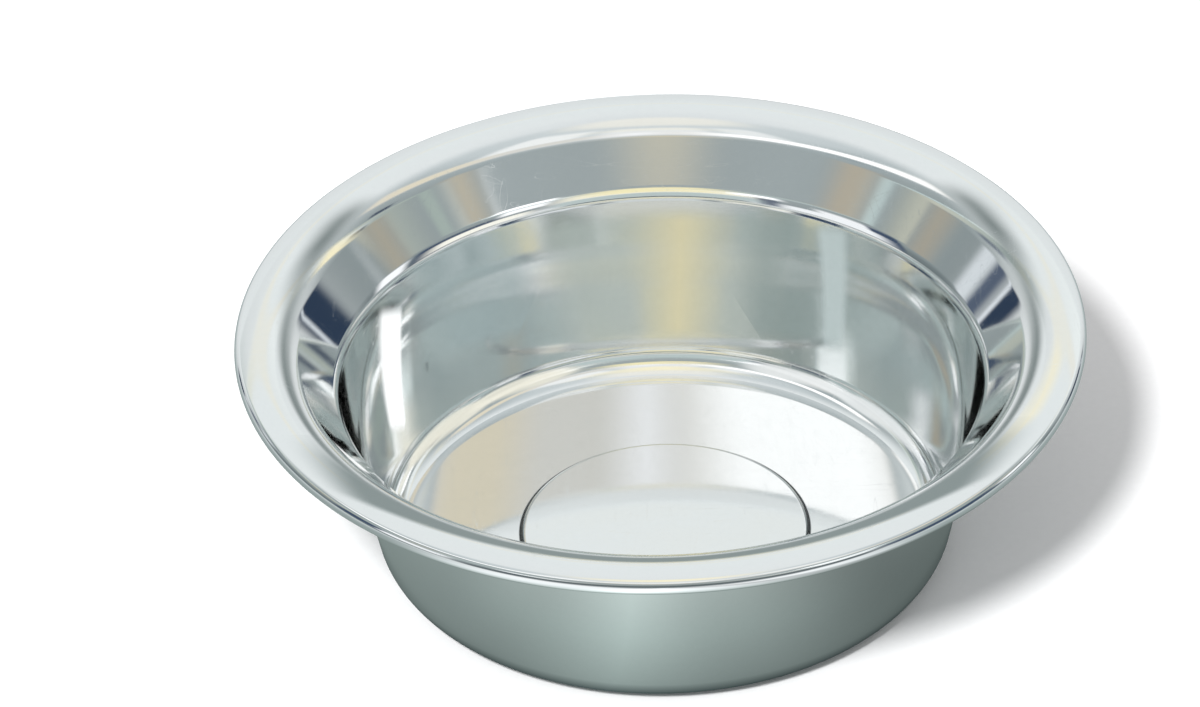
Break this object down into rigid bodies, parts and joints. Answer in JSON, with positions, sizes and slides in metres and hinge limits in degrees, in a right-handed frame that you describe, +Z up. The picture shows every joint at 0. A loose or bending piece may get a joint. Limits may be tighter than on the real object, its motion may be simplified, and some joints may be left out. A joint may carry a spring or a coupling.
{
  "type": "stainless dog bowl",
  "caption": "Round pressed steel pet bowl with a rolled flange, a conical shoulder, a sloping wall and a raised disc in the floor.",
  "frame": {"origin": "middle of the plane that the bowl stands on", "axes": "+Z up through the middle of the bowl, towards its mouth; the bowl is the same all round, so +X and +Y are any two directions at right angles across it"},
  "size_m": [0.127, 0.127, 0.0381],
  "materials": {
    "polished_steel": "mirror polished stainless steel with faint turning marks"
  },
  "bodies": {
    "root": {"bowl": "polished_steel"}
  },
  "joints": []
}
